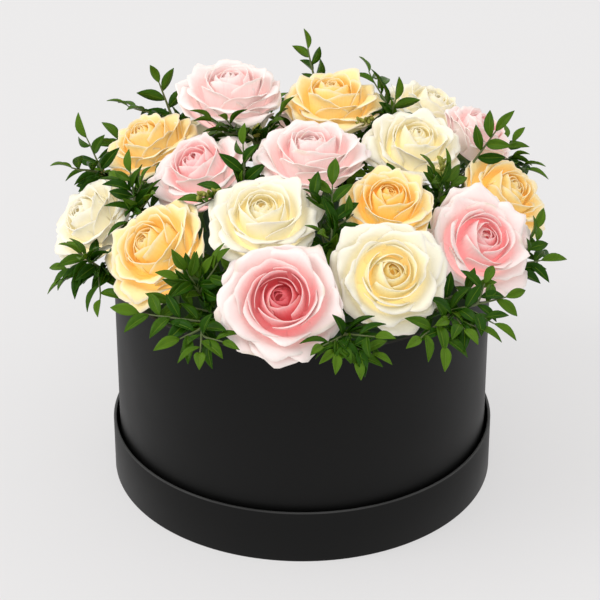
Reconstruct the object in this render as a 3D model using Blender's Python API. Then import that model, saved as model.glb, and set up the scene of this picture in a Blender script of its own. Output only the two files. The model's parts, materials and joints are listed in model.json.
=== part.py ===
"""Rose box: a round board box that stands in its own upturned lid, with roses and leafy sprigs in wet foam."""

import math
from dataclasses import dataclass

import bmesh
import bpy
import numpy as np
from mathutils import Vector
from mathutils.bvhtree import BVHTree

MM = 0.001

# Driving dimensions, in metres
BODY_RADIUS = 0.125
RIM_HEIGHT = 0.154
BODY_BOARD = 0.0024
LID_RADIUS = 0.1293
LID_HEIGHT = 0.0375
LID_BOARD = 0.0022
LINER_WALL = 0.0008
LINER_HEIGHT = 0.128
FOAM_BELOW_RIM = 0.008
GAP = 0.0003
ROUND_SIDES = 60
INNER_SIDES = 30
SHARP_ANGLE = math.radians(40)

# Heights of what stands on what, in metres
BODY_FLOOR = LID_BOARD + GAP
LINER_FLOOR = BODY_FLOOR + BODY_BOARD + GAP
FOAM_FLOOR = LINER_FLOOR + LINER_WALL + GAP
FOAM_TOP = RIM_HEIGHT - FOAM_BELOW_RIM
LINER_RADIUS = BODY_RADIUS - BODY_BOARD - GAP
FOAM_RADIUS = LINER_RADIUS - LINER_WALL - GAP

# Stems
STEM_RADIUS = 0.0024
STEM_SIDES = 5
TWIG_SIDES = 4
STEM_IN_FOAM = 0.045
STRAIGHT_ABOVE_FOAM = 0.008
HOLE_OVERRUN = 0.004
FOOT_SHARE = 0.72
FOAM_LEAN = 0.25

HIP = ((0.0, 0.12), (0.004, 0.14))
HIP_LENGTH = 0.012

# Leaves
TWIG_RADIUS = 0.0012
TWIG_ARCH = 0.008
LEAF_LENGTH = 0.025
LEAF_WIDTH = 0.40
LEAF_FOLD = 0.04
LEAF_DROOP = 0.10
LEAF_THICKNESS = 0.0008
LEAF_SPACING = 0.015
LEAF_SPREAD = (math.radians(62), math.radians(40))
TOP_LEAF_SPREAD = math.radians(12)
LEAF_START = 0.0015
LEAF_TRIALS = 6
SHOOT_JOINTS = (0.0, 0.3, 0.62, 1.0)
FIRST_LEAF = 0.25
LAST_LEAF = 0.97

# Blooms
GOLDEN_ANGLE = math.radians(137.508)
PETAL_THICKNESS = 0.0010
# Each petal's layer, from the heart out, and its faces across and along
PETALS = (
    (0.12, 3, 2), (0.28, 3, 2), (0.44, 3, 2), (0.56, 4, 2),
    (0.74, 4, 2), (0.81, 4, 2), (0.87, 4, 2), (0.94, 4, 2), (1.00, 4, 2),
)
# Heights as shares of the bloom's depth, with radii as shares of its size
HEART = ((0.0, 0.13), (0.12, 0.23), (0.62, 0.16))
CLAW = 0.45
PETAL_ROUNDING = 0.26
SOFT_ZONE = 0.006
HALF_CLEARANCE = 0.0005
SEPALS = 5

COLOURS = {
    "pink": (0.93, 0.66, 0.66, 1.0),
    "white": (0.93, 0.90, 0.78, 1.0),
    "peach": (0.95, 0.76, 0.46, 1.0),
    "stem": (0.16, 0.30, 0.08, 1.0),
    "leaf": (0.06, 0.20, 0.03, 1.0),
    "box": (0.018, 0.018, 0.018, 1.0),
    "liner": (0.75, 0.78, 0.78, 1.0),
    "foam": (0.04, 0.14, 0.06, 1.0),
}


@dataclass(frozen=True)
class Rose:
    """One rose: the middle of its face and its radius in millimetres, and how it leans in degrees."""

    number: int
    variety: str
    face: tuple
    radius: float
    tilt: float
    lean: float
    openness: float
    turn: float = 0.0

    @property
    def size(self):
        return self.radius * MM

    @property
    def depth(self):
        return self.size * mix(1.16, 0.96, self.openness)

    @property
    def axis(self):
        tilt, lean = math.radians(self.tilt), math.radians(self.lean)
        return np.array([math.sin(tilt) * math.cos(lean), math.sin(tilt) * math.sin(lean), math.cos(tilt)])

    @property
    def middle(self):
        return np.array(self.face) * MM

    @property
    def base(self):
        return self.middle - self.axis * self.depth * mix(0.94, 0.88, self.openness)

    @property
    def frame(self):
        """Rows are the bloom's own X, Y and Z in the part's frame."""
        z = self.axis
        x = np.cross([0.0, 1.0, 0.0], z)
        x /= np.linalg.norm(x)
        return np.array([x, np.cross(z, x), z])


ROSES = (
    Rose(1, "pink", (-48, 74, 250), 38, 5, 270, 0.8, 20),
    Rose(2, "peach", (20, 77, 243), 35, 6, 265, 0.5, 140),
    Rose(3, "white", (92, 104, 222), 33, 26, 5, 0.6, 80),
    Rose(4, "pink", (124, 62, 222), 28, 36, 2, 0.7, 200),
    Rose(5, "peach", (-109, 74, 212), 34, 24, 195, 0.3, 300),
    Rose(6, "pink", (-71, 2, 225), 34, 28, 220, 0.5, 40),
    Rose(7, "pink", (6, -6, 240), 38, 8, 270, 1.0, 90),
    Rose(8, "white", (76, 28, 231), 34, 20, 295, 0.5, 250),
    Rose(9, "peach", (141, 21, 196), 34, 42, 332, 0.5, 10),
    Rose(10, "white", (-146, -1, 189), 33, 46, 202, 0.3, 170),
    Rose(11, "peach", (-99, -65, 200), 36, 42, 212, 0.2, 60),
    Rose(12, "white", (-25, -68, 225), 36, 22, 262, 0.7, 330),
    Rose(13, "peach", (55, -47, 225), 31, 22, 278, 0.4, 110),
    Rose(14, "pink", (117, -47, 194), 37, 46, 300, 0.8, 220),
    Rose(15, "pink", (-13, -130, 196), 39, 46, 266, 1.0, 0),
    Rose(16, "white", (55, -107, 201), 36, 50, 282, 0.8, 150),
    Rose(17, "pink", (11, 136, 198), 32, 46, 86, 0.8, 70),
    Rose(18, "white", (-54, 128, 204), 32, 42, 108, 0.5, 260),
)


@dataclass(frozen=True)
class Spray:
    """A leafy branch: where it forks between the blooms, and the tip of each shoot, in millimetres."""

    name: str
    fork: tuple
    tips: tuple


SPRAYS = (
    Spray("left_back", (-87, 108, 198), ((-99, 116, 230), (-121, 112, 214))),
    Spray("left_side", (-130, 44, 190), ((-153, 28, 207), (-145, 56, 216))),
    Spray("left_gap", (-105, -12, 192), ((-112, 1, 217),)),
    Spray("middle_back", (-29, 38, 214), ((-60, 36, 238), (-14, 46, 238))),
    Spray("middle_left", (-36, -22, 212), ((-38, -10, 242),)),
    Spray("top", (12, 104, 208), ((4, 124, 252), (35, 120, 247))),
    Spray("right_back_gap", (58, 70, 218), ((66, 74, 241),)),
    Spray("right_back", (105, 27, 197), ((134, 36, 242), (124, 20, 232))),
    Spray("right_gap", (86, -12, 196), ((92, -4, 219),)),
    Spray("middle_front", (18, -72, 198), ((19, -46, 231), (14, -88, 215))),
    Spray("front_left_low", (-58, -112, 168), ((-62, -152, 170), (-101, -112, 175))),
    Spray("front_left_high", (-62, -92, 176), ((-78, -95, 199), (-52, -100, 204))),
    Spray("left_low", (-126, -36, 164), ((-154, -26, 160), (-144, -42, 180), (-129, -68, 160))),
    Spray("front", (26, -130, 170), ((33, -158, 167), (12, -154, 176), (44, -150, 180))),
    Spray("front_right", (90, -98, 168), ((128, -86, 172), (72, -136, 171), (100, -120, 168))),
    Spray("right_low", (134, -42, 164), ((150, -24, 188), (168, -18, 170), (158, -44, 158), (138, -74, 169))),
    Spray("back_right", (58, 122, 182), ((62, 152, 196), (86, 140, 198))),
    Spray("back_middle", (-30, 126, 182), ((-32, 154, 198), (-20, 142, 212))),
    Spray("back_left", (-108, 98, 172), ((-128, 112, 188), (-104, 128, 184))),
    Spray("back_right_low", (128, 88, 176), ((146, 100, 192), (152, 76, 186))),
)


def mix(low, high, share):
    return low + (high - low) * share


def unit(vector):
    return vector / np.linalg.norm(vector)


def ease(share):
    share = np.clip(share, 0.0, 1.0)
    return share * share * (3 - 2 * share)


def material(name, roughness=0.6, metallic=0.0):
    """The finish of one kind of piece, made once."""
    made = bpy.data.materials.get(name)
    if made is None:
        made = bpy.data.materials.new(name)
        made.use_nodes = True
        shader = made.node_tree.nodes["Principled BSDF"]
        shader.inputs["Base Color"].default_value = COLOURS[name]
        shader.inputs["Roughness"].default_value = roughness
        shader.inputs["Metallic"].default_value = metallic
        made.diffuse_color = COLOURS[name]
    return made


def new_object(name, mesh_tool, finish):
    """A named object from a bmesh, which is freed."""
    mesh = bpy.data.meshes.new(name)
    mesh_tool.to_mesh(mesh)
    mesh_tool.free()
    made = bpy.data.objects.new(name, mesh)
    bpy.context.scene.collection.objects.link(made)
    mesh.materials.append(finish)
    mesh.shade_smooth()
    mesh.set_sharp_from_angle(angle=SHARP_ANGLE)
    return made


def object_from(name, points, faces, finish):
    """A named object from points and the faces between them."""
    tool = bmesh.new()
    corners = [tool.verts.new(point) for point in points]
    for face in faces:
        tool.faces.new([corners[k] for k in face])
    if tool.calc_volume(signed=True) < 0:
        bmesh.ops.reverse_faces(tool, faces=tool.faces)
    return new_object(name, tool, finish)


def applied(target):
    """Applies the object's modifiers to its mesh."""
    with bpy.context.temp_override(object=target, active_object=target, selected_objects=[target]):
        for modifier in list(target.modifiers):
            bpy.ops.object.modifier_apply(modifier=modifier.name)
    return target


def combined(target, others, operation="UNION"):
    """Joins the others to the target, or cuts them out of it, in one Boolean, and removes them.

    Blades this thin meet their stem in slivers, which the exact solver can lose and the manifold one keeps.
    """
    group = bpy.data.collections.new(target.name + "_repeats")
    bpy.context.scene.collection.children.link(group)
    for other in others:
        bpy.context.scene.collection.objects.unlink(other)
        group.objects.link(other)
    boolean = target.modifiers.new("boolean", "BOOLEAN")
    boolean.operation = operation
    boolean.operand_type = "COLLECTION"
    boolean.collection = group
    boolean.solver = "MANIFOLD"
    applied(target)
    for other in others:
        bpy.data.objects.remove(other)
    bpy.data.collections.remove(group)
    return target


def turned(name, outline, finish, sides=ROUND_SIDES):
    """A solid of revolution from (radius, height) points, which run round the wall's section."""
    tool = bmesh.new()
    ring = [tool.verts.new((radius, 0.0, height)) for radius, height in outline]
    edges = [tool.edges.new((ring[k], ring[k + 1])) for k in range(len(ring) - 1)]
    bmesh.ops.spin(tool, geom=ring + edges, cent=(0, 0, 0), axis=(0, 0, 1), angle=2 * math.pi,
                   steps=sides, use_duplicate=False)
    bmesh.ops.remove_doubles(tool, verts=tool.verts, dist=1e-6)
    bmesh.ops.recalc_face_normals(tool, faces=tool.faces)
    return new_object(name, tool, finish)


def cup(name, radius, floor, height, wall, finish, sides=ROUND_SIDES):
    """A straight-sided round cup, from its outer radius, underside, rim height and wall."""
    return turned(name, [(0, floor), (radius, floor), (radius, height), (radius - wall, height),
                         (radius - wall, floor + wall), (0, floor + wall)], finish, sides)


def tube(name, centres, radii, sides, finish):
    """A closed tube along the centres, with its own radius at each."""
    centres = [Vector(c) for c in centres]
    tangents = [(centres[min(k + 1, len(centres) - 1)] - centres[max(k - 1, 0)]).normalized()
                for k in range(len(centres))]
    across = tangents[0].orthogonal().normalized()
    points, faces = [], []
    for centre, tangent, radius in zip(centres, tangents, radii):
        across = (across - tangent * across.dot(tangent)).normalized()
        along = tangent.cross(across)
        for side in range(sides):
            angle = 2 * math.pi * side / sides
            points.append(centre + (across * math.cos(angle) + along * math.sin(angle)) * radius)
    for ring in range(len(centres) - 1):
        for side in range(sides):
            a, b = ring * sides + side, ring * sides + (side + 1) % sides
            faces.append((a, b, b + sides, a + sides))
    faces.append(tuple(reversed(range(sides))))
    faces.append(tuple(range((len(centres) - 1) * sides, len(centres) * sides)))
    return object_from(name, points, faces, finish)


def curve_point(start, leave, arrive, end, share):
    """A point of the cubic curve through start and end, with its two handles."""
    rest = 1 - share
    return (rest ** 3 * start + 3 * rest * rest * share * leave
            + 3 * rest * share * share * arrive + share ** 3 * end)


# The bloom: petals on a golden-angle spiral, each a fan of a turned profile

def profile(rose, layer):
    """Root, two handles and rim of a petal's section, as (radius, height), for a layer from 0 to 1."""
    size, depth, openness = rose.size, rose.depth, rose.openness
    closed_reach, open_reach = layer ** 1.1, 1 - (1 - layer) ** 1.25
    rim_radius = size * (0.05 + 0.95 * mix(closed_reach, open_reach, openness))
    heart, ring, outer = mix(np.array([1.0, 1.0, 0.74]), np.array([0.74, 1.12, 0.92]), openness)
    rim_height = depth * (heart * (1 - layer) ** 2 + 2 * ring * layer * (1 - layer) + outer * layer ** 2)
    leaves = math.radians(mix(12, 92, layer ** 0.7))
    arrives = math.radians(-14 + 114 * layer ** mix(1.0, 0.62, openness))
    root = np.array([size * mix(0.15, 0.08, layer), depth * mix(0.30, 0.03, layer)])
    rim = np.array([rim_radius, rim_height])
    chord = np.linalg.norm(rim - root)
    first = root + 0.56 * chord * np.array([math.sin(leaves), math.cos(leaves)])
    second = rim - 0.36 * chord * np.array([math.sin(arrives), math.cos(arrives)])
    return root, first, second, rim


def petal_surface(rose, index, layer, across, along):
    """The petal's middle surface in the bloom's own frame, as a grid of points along by across."""
    u = np.linspace(-1, 1, across + 1)[None, :]
    v = np.linspace(0, 1, along + 1)[:, None] ** 0.85
    share = v * (1 - PETAL_ROUNDING * np.abs(u) ** 2.8)
    root, first, second, rim = profile(rose, layer)
    radius, height = curve_point(root[:, None, None], first[:, None, None], second[:, None, None],
                                 rim[:, None, None], share)
    half_angle = math.radians(48 + 18 * (1 - layer) + 40 * math.exp(-layer / 0.15))
    claw = ease(v / CLAW)
    angle = math.radians(rose.turn) + index * GOLDEN_ANGLE + half_angle * claw * u
    return np.stack([radius * np.cos(angle), radius * np.sin(angle), height + 0 * angle], axis=-1)


def placed(rose, points):
    """Points of the bloom's own frame in the part's frame."""
    return rose.base + points @ rose.frame


def contact_planes(rose):
    """The planes, as (point, outward normal), where this bloom meets each bloom beside it."""
    planes = []
    for other in ROSES:
        between = other.middle - rose.middle
        distance = np.linalg.norm(between)
        if other is rose or distance > rose.size + other.size + 0.012:
            continue
        share = (distance ** 2 + rose.size ** 2 - other.size ** 2) / (2 * distance ** 2)
        planes.append((rose.middle + share * between, between / distance))
    return planes


def pressed(points, planes):
    """Points that come near a neighbour are pressed back from the plane between the two, in order."""
    points = points.copy()
    room = SOFT_ZONE - HALF_CLEARANCE
    for origin, normal in planes:
        reach = (points - origin) @ normal + SOFT_ZONE
        over = reach > 0
        kept = room * (1 - np.exp(-np.where(over, reach, 0) / room))
        points -= np.where(over, reach - kept, 0)[..., None] * normal
    return points


def blade(name, middle, thickness, finish):
    """A thin closed blade round rows of points: pointed at its root, sharp at its border, thick within."""
    rows, columns = middle.shape[:2]
    normal = np.cross(np.gradient(middle, axis=1), np.gradient(middle, axis=0))
    normal /= np.linalg.norm(normal, axis=-1, keepdims=True) + 1e-12
    points = [middle[0, 0]]
    upper, lower = np.zeros((2, rows, columns), int)
    for r in range(1, rows):
        for c in range(columns):
            upper[r, c] = lower[r, c] = len(points)
            if r < rows - 1 and 0 < c < columns - 1:
                lower[r, c] += 1
                points += [middle[r, c] + normal[r, c] * thickness / 2, middle[r, c] - normal[r, c] * thickness / 2]
            else:
                points.append(middle[r, c])
    faces = []
    for r in range(rows - 1):
        for c in range(columns - 1):
            square = ((r, c), (r, c + 1), (r + 1, c + 1), (r + 1, c))
            towards_tip = (r < (rows - 1) / 2) == (c < (columns - 1) / 2)
            for split in ((0, 1, 2), (0, 2, 3)) if towards_tip else ((0, 1, 3), (1, 2, 3)):
                for side, order in ((upper, 1), (lower, -1)):
                    face = [int(side[square[k]]) for k in split[::order]]
                    if len(set(face)) == 3:
                        faces.append(face)
    return object_from(name, points, faces, finish)


def bloom(rose):
    """The bloom: a slim heart with the petals in their layers fused to it."""
    finish = material(rose.variety, 0.55)
    planes = contact_planes(rose)
    centres = [placed(rose, np.array([0, 0, height * rose.depth])) for height, _ in HEART]
    heart = tube(f"bloom_{rose.number:02d}_{rose.variety}", centres,
                 [radius * rose.size for _, radius in HEART], 6, finish)
    petals = []
    for index, (layer, across, along) in enumerate(PETALS):
        middle = pressed(placed(rose, petal_surface(rose, index, layer, across, along)), planes)
        petals.append(blade("petal", middle, PETAL_THICKNESS, finish))
    return combined(heart, petals)


# The stem below each bloom, with its hip and sepals

def stem_foot(place):
    """Where a stem under this place enters the foam."""
    return np.array([place[0] * FOOT_SHARE, place[1] * FOOT_SHARE, FOAM_TOP])


def foam_direction(axis):
    """The way a stem stands in the foam: nearly upright, leaning a little with the bloom."""
    return unit(mix(np.array([0.0, 0.0, 1.0]), axis, FOAM_LEAN))


def rose_stem(rose):
    """Hip, stem and sepals of one rose, down into the foam."""
    finish = material("stem", 0.5)
    top = rose.base - rose.axis * GAP
    foot = stem_foot(rose.base)
    upright = foam_direction(rose.axis)
    centres = [top - rose.axis * down for down, _ in HIP]
    radii = [share * rose.size for _, share in HIP]
    start = top - rose.axis * HIP_LENGTH
    exit_point = foot + upright * STRAIGHT_ABOVE_FOAM
    reach = np.linalg.norm(start - exit_point)
    for share in (0.0, 0.4, 0.7, 1.0):
        centres.append(curve_point(start, start - rose.axis * reach * 0.35,
                                   exit_point + upright * reach * 0.35, exit_point, share))
        radii.append(STEM_RADIUS)
    centres.append(foot - upright * STEM_IN_FOAM)
    radii.append(STEM_RADIUS)
    stem = tube(f"stem_{rose.number:02d}", centres, radii, STEM_SIDES, finish)
    return combined(stem, [sepal(rose, k, finish) for k in range(SEPALS)])


def sepal(rose, index, finish):
    """One sepal: a slim spike, bent back below the bloom."""
    angle = 2 * math.pi * (index + 0.5) / SEPALS + math.radians(rose.turn)
    outward = np.array([math.cos(angle), math.sin(angle), 0])
    sideways = np.array([-math.sin(angle), math.cos(angle), 0])
    up = np.array([0, 0, 1.0])
    corners = (outward * 0.05 - up * 0.10 - sideways * 0.07, outward * 0.05 - up * 0.10 + sideways * 0.07,
               outward * 0.08 - up * 0.16, outward * 0.50 - up * 0.24)
    points = [placed(rose, corner * rose.size) for corner in corners]
    return object_from("sepal", points, ((0, 2, 1), (0, 1, 3), (1, 2, 3), (2, 0, 3)), finish)


# The leafy sprays between the blooms

def shoot_line(start, leaving, tip):
    """The points of a shoot's stem, which leaves one way and settles towards its tip."""
    way = tip - start
    reach = np.linalg.norm(way)
    return [curve_point(start, start + leaving * reach * 0.35, tip - way * 0.35, tip, share)
            for share in SHOOT_JOINTS]


def on_line(line, share):
    """The place at this share of a line's joints, and the way the line runs there."""
    joint = min(int(share * (len(line) - 1)), len(line) - 2)
    way = line[joint + 1] - line[joint]
    return line[joint] + way * (share * (len(line) - 1) - joint), unit(way)


def leaf_points(root, direction, facing, length):
    """The root, sides, tip and two faces of a leaf, a little folded and drooping."""
    side = unit(np.cross(direction, facing))
    facing = np.cross(side, direction)
    middle = root + direction * 0.46 * length
    half = side * LEAF_WIDTH * length / 2
    fold, droop = facing * LEAF_FOLD * length, facing * LEAF_DROOP * length
    thick = facing * LEAF_THICKNESS / 2
    return [root, middle + half + fold, root + direction * length - droop, middle - half + fold,
            middle + thick, middle - thick]


LEAF_FACES = ((0, 1, 4), (1, 2, 4), (2, 3, 4), (3, 0, 4), (1, 0, 5), (2, 1, 5), (3, 2, 5), (0, 3, 5))


def tree_of(points, faces):
    return BVHTree.FromPolygons([tuple(p) for p in points], [tuple(f) for f in faces])


def object_tree(made):
    return tree_of([v.co for v in made.data.vertices], [p.vertices for p in made.data.polygons])


def leaves_on(line, taken):
    """Leaves along one shoot, each turned until it is clear of what is already there."""
    count = max(2, round(np.linalg.norm(line[-1] - line[0]) / LEAF_SPACING))
    leaves = []
    for k in range(count + 1):
        share = mix(FIRST_LEAF, LAST_LEAF, k / count)
        root, ahead = on_line(line, share)
        across = unit(np.cross(ahead, [0.0, 0.0, 1.0]) + 1e-6)
        over = np.cross(across, ahead)
        spread = mix(*LEAF_SPREAD, share) if k < count else TOP_LEAF_SPREAD
        for trial in range(LEAF_TRIALS):
            turn = k * GOLDEN_ANGLE + trial * 2 * math.pi / LEAF_TRIALS
            away = across * math.cos(turn) + over * math.sin(turn)
            direction = ahead * math.cos(spread) + away * math.sin(spread)
            facing = ahead * math.sin(spread) - away * math.cos(spread)
            points = leaf_points(root, direction, facing, LEAF_LENGTH * mix(1.0, 0.85, share))
            clear = tree_of([p + direction * LEAF_START for p in points], LEAF_FACES)
            if not any(clear.overlap(other) for other in taken):
                taken.append(clear)
                leaves.append(points)
                break
    return leaves


def spray(plan, taken):
    """One leafy branch: a stem out of the foam, its shoots and their leaves."""
    finish = material("leaf", 0.35)
    fork = np.array(plan.fork) * MM
    foot = stem_foot(fork)
    rise = unit(fork - foot)
    upright = foam_direction(rise)
    tips = [np.array(tip) * MM for tip in plan.tips]
    lines = [shoot_line(fork, rise, tip) for tip in tips]
    arch = mix(foot, fork, 0.5) + np.array([0, 0, TWIG_ARCH])
    centres = [foot - upright * STEM_IN_FOAM, foot + upright * STRAIGHT_ABOVE_FOAM, arch] + lines[0]
    radii = [TWIG_RADIUS * share for share in (1.0, 1.0, 1.0, 1.0, 0.9, 0.75, 0.45)]
    stem = tube("spray_" + plan.name, centres, radii, TWIG_SIDES, finish)
    others = [tube("shoot", line, [TWIG_RADIUS * share for share in (0.8, 0.8, 0.7, 0.45)], TWIG_SIDES, finish)
              for line in lines[1:]]
    leaves = [points for line in lines for points in leaves_on(line, taken)]
    others += [object_from("leaf", points, LEAF_FACES, finish) for points in leaves]
    return combined(stem, others)


# The wet foam and what holds it

def standing_stems():
    """Foot, direction, radius and sides of every stem that stands in the foam."""
    for rose in ROSES:
        yield stem_foot(rose.base), foam_direction(rose.axis), STEM_RADIUS, STEM_SIDES
    for plan in SPRAYS:
        fork = np.array(plan.fork) * MM
        yield stem_foot(fork), foam_direction(unit(fork - stem_foot(fork))), TWIG_RADIUS, TWIG_SIDES


def foam_block():
    """The round block of foam, with a hole round every stem."""
    finish = material("foam", 0.9)
    block = turned("foam", [(0, FOAM_FLOOR), (FOAM_RADIUS, FOAM_FLOOR), (FOAM_RADIUS, FOAM_TOP), (0, FOAM_TOP)],
                   finish, INNER_SIDES)
    holes = []
    for foot, upright, radius, sides in standing_stems():
        ends = [foot - upright * (STEM_IN_FOAM + GAP), foot + upright * HOLE_OVERRUN]
        clear = (radius + GAP) / math.cos(math.pi / sides)
        holes.append(tube("hole", ends, [clear] * 2, sides, finish))
    return combined(block, holes, "DIFFERENCE")


def clear_scene():
    for old in list(bpy.data.objects):
        bpy.data.objects.remove(old)


def main():
    clear_scene()
    box = material("box", 0.65)
    cup("lid_under_box", LID_RADIUS, 0.0, LID_HEIGHT, LID_BOARD, box)
    cup("box_body", BODY_RADIUS, BODY_FLOOR, RIM_HEIGHT, BODY_BOARD, box)
    cup("liner", LINER_RADIUS, LINER_FLOOR, LINER_HEIGHT, LINER_WALL, material("liner", 0.3), INNER_SIDES)
    foam_block()
    heads = [piece for rose in ROSES for piece in (bloom(rose), rose_stem(rose))]
    taken = [object_tree(piece) for piece in heads]
    for plan in SPRAYS:
        taken.append(object_tree(spray(plan, taken)))


if __name__ == "__main__":
    main()
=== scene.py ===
"""Dresses the rose box: a black board box in its upturned lid, filled with roses and leafy sprays."""

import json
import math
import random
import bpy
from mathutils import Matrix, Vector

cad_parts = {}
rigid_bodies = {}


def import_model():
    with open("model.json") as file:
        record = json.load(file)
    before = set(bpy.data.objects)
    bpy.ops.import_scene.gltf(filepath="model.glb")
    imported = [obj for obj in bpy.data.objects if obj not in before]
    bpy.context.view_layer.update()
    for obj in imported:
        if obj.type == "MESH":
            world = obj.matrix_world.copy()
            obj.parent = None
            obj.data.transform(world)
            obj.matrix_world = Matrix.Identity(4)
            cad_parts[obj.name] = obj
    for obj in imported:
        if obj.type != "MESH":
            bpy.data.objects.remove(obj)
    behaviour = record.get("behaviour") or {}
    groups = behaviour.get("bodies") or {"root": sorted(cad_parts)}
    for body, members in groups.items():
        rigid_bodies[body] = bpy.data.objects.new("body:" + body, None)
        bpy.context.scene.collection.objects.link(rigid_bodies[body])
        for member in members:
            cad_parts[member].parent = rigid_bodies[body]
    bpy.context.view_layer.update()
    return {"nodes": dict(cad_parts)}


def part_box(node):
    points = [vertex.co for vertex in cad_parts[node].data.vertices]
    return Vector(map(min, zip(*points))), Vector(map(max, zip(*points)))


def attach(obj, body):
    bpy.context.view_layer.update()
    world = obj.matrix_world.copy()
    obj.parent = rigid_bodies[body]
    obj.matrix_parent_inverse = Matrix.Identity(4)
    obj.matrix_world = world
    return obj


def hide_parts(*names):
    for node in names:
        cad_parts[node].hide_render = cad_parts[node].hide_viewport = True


bl_info = {
    "name": "Rose Box",
    "version": (1, 0, 0),
    "blender": (4, 5, 0),
    "location": "View3D > Sidebar > Rose Box",
    "description": "Models and finishes the box, the blooms, their stems and the leafy sprays",
    "category": "Object",
}

from dataclasses import dataclass

import bmesh
import bpy
import numpy as np
from bpy.props import FloatProperty, FloatVectorProperty, IntProperty, PointerProperty
from mathutils import Vector
from mathutils.bvhtree import BVHTree

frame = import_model()

MM = 0.001
GOLDEN_ANGLE = math.radians(137.508)

# Box and foam, as the frame has them
BOARD = {"box_body": 0.0024, "lid_under_box": 0.0022}
FOAM_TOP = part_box("foam")[1].z

# Rims of the box
RIM_SEGMENTS = 3
SMOOTH_ANGLE = math.radians(35)
SAME_PLACE = 1e-5

# Stems, as the frame has them
STEM_RADIUS = 0.0024
STEM_IN_FOAM = 0.045
STRAIGHT_ABOVE_FOAM = 0.008
FOOT_SHARE = 0.72
FOAM_LEAN = 0.25
HIP = ((0.0, 0.12), (0.002, 0.15), (0.006, 0.14), (0.010, 0.085))
HIP_LENGTH = 0.012
SEPALS = 5

# Twigs and leaves
TWIG_RADIUS = 0.0012
TWIG_ARCH = 0.008
LONG_SHOOT = 9
SHORT_SHOOT = 5
SHOOT_HANDLE = 0.35
SIDE_SHOOTS = ((0.30, 1), (0.52, -1))
FILLER_REACH = 0.034
FILLER_RISE = 0.8
LEAF_THICKNESS = 0.0004
LEAF_TRIALS = 8
LEAF_ROLL = 0.6
LEAF_SPREAD = (68, 44)
LAST_SPREAD = 5
OUTWARD_FACING = 0.7

# Clusters of buds
BUDS = 13
BUD_LENGTH = 0.005
BUD_WIDTH = 0.55

# How a bloom gives way where its neighbours touch it
SOFT_ZONE = 0.006
HALF_CLEARANCE = 0.0005
BESIDE = 0.012

# Section of a petal, in degrees and in shares of the bloom's size or depth, from the heart outwards
CLOSED_RIMS = np.array([1.02, 1.06, 0.60])
OPEN_RIMS = np.array([1.0, 1.30, 0.58])
ROOT_RADIUS = (0.15, 0.08)
ROOT_HEIGHT = (0.30, 0.03)
ROOT_LEAN = (20, 96)
ROOT_HANDLE = 0.56
RIM_LEAN = (-38, 112)
RIM_HANDLE = (0.36, 0.24)

# Outline of a petal, and how its rim rolls and waves, in the same units
TURN_ERROR = 16
HALF_WIDTH = 43
WIDER_INSIDE = 29
WRAP_OF_HEART = 60
CORNERS = (0.16, 0.32)
POINT = (0.02, 0.075)
POINT_WIDTH = 0.20
FRILL = (0.004, 0.019)
ROLL = (0.03, 0.09)
ROLL_START = 0.80
WAVE = 0.026
FLATTENED = 0.62
SLOPE = 0.05
SLOPE_OF_RING = 0.10
RING = 0.30

# Spacing and tones of the petals
CROWDING = 0.11
INNER_PETALS = 0.35
HEART_TONE = 0.94
TONE_RISE = 0.90
# Along each petal the tone deepens towards its root: partly the petals' own colour, partly painted shade in
# the crevices of the bloom.
TONE_ALONG = 0.40

# Stage
CAMERA_TARGET = Vector((-0.00145, 0, 0.1222))
SENSOR_WIDTH = 36
FLOOR_SIZE = 30
KEY_PLACE = (-2.8, -1.0, 3.65)
KEY_TARGET = (0, 0, 0.15)
KEY_SIZE = 2.4


@dataclass(frozen=True)
class Rose:
    """One rose: its face's middle and radius in millimetres, its angles in degrees, openness and blush."""

    number: int
    variety: str
    face: tuple
    radius: float
    tilt: float
    lean: float
    openness: float
    turn: float
    blush: float

    @property
    def node(self):
        return f"bloom_{self.number:02d}_{self.variety}"

    @property
    def looks_name(self):
        return f"rose_{self.number:02d}_{self.variety}"

    @property
    def size(self):
        return self.radius * MM

    @property
    def depth(self):
        return self.size * mix(1.16, 0.96, self.openness)

    @property
    def axis(self):
        tilt, lean = math.radians(self.tilt), math.radians(self.lean)
        return np.array([math.sin(tilt) * math.cos(lean), math.sin(tilt) * math.sin(lean), math.cos(tilt)])

    @property
    def middle(self):
        return np.array(self.face) * MM

    @property
    def base(self):
        return self.middle - self.axis * self.depth * mix(0.94, 0.88, self.openness)

    @property
    def frame(self):
        """Rows are the bloom's own X, Y and Z in the part's frame."""
        z = self.axis
        x = unit(np.cross([0.0, 1.0, 0.0], z))
        return np.array([x, np.cross(z, x), z])


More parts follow.
